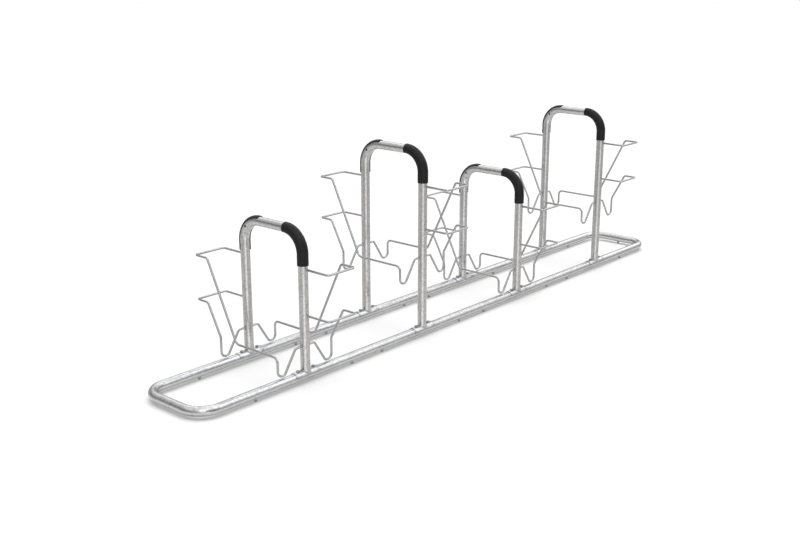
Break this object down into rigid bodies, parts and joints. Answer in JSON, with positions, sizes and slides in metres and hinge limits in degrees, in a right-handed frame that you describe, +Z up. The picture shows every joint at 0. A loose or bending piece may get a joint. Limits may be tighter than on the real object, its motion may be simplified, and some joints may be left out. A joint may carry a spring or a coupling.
{
  "type": "bicycle rack",
  "caption": "Free-standing double-sided bicycle rack: a floor loop of steel tube carries upright hoops, low and high in turn, with bent bars that hold front wheels.",
  "frame": {"origin": "on the floor under the middle of the rack", "axes": "+X along the floor loop from the end near the viewer to the far end, -Y towards the front, +Z up"},
  "size_m": [4.0042, 0.7658, 1.05],
  "materials": {
    "rails": "hot-dip zinc coating on round tube, satin light grey with a faint mottle",
    "hoops": "hot-dip zinc coating on round tube, satin light grey with a faint mottle",
    "saddles": "hot-dip zinc coating on bent plate, satin light grey",
    "bolts": "zinc-plated bolt, satin",
    "sleeves": "hot-dip zinc coating, satin light grey, hidden inside the rails",
    "holders": "hot-dip zinc coating on round bar, satin light grey",
    "guards": "moulded black plastic, satin"
  },
  "bodies": {
    "root": {"base_near_end": "rails", "base_far_end": "rails", "base_front_rail": "rails", "base_back_rail": "rails", "joint_sleeve_front_near": "sleeves", "joint_sleeve_front_far": "sleeves", "joint_sleeve_back_near": "sleeves", "joint_sleeve_back_far": "sleeves", "hoop_1": "hoops", "hoop_2": "hoops", "hoop_3": "hoops", "hoop_4": "hoops", "saddle_front_1": "saddles", "saddle_front_2": "saddles", "saddle_front_3": "saddles", "saddle_front_4": "saddles", "saddle_back_1": "saddles", "saddle_back_2": "saddles", "saddle_back_3": "saddles", "saddle_back_4": "saddles", "saddle_bolt_front_1_near": "bolts", "saddle_bolt_front_1_far": "bolts", "saddle_bolt_front_2_near": "bolts", "saddle_bolt_front_2_far": "bolts", "saddle_bolt_front_3_near": "bolts", "saddle_bolt_front_3_far": "bolts", "saddle_bolt_front_4_near": "bolts", "saddle_bolt_front_4_far": "bolts", "saddle_bolt_back_1_near": "bolts", "saddle_bolt_back_1_far": "bolts", "saddle_bolt_back_2_near": "bolts", "saddle_bolt_back_2_far": "bolts", "saddle_bolt_back_3_near": "bolts", "saddle_bolt_back_3_far": "bolts", "saddle_bolt_back_4_near": "bolts", "saddle_bolt_back_4_far": "bolts", "guard_front_1": "guards", "guard_front_2": "guards", "guard_front_3": "guards", "guard_front_4": "guards", "guard_back_1": "guards", "guard_back_2": "guards", "guard_back_3": "guards", "guard_back_4": "guards", "holder_long_front_1": "holders", "holder_long_front_2": "holders", "holder_long_front_3": "holders", "holder_long_front_4": "holders", "holder_long_back_1": "holders", "holder_long_back_2": "holders", "holder_long_back_3": "holders", "holder_long_back_4": "holders", "holder_short_front_1": "holders", "holder_short_front_2": "holders", "holder_short_front_3": "holders", "holder_short_front_4": "holders", "holder_short_back_1": "holders", "holder_short_back_2": "holders", "holder_short_back_3": "holders", "holder_short_back_4": "holders"}
  },
  "joints": []
}
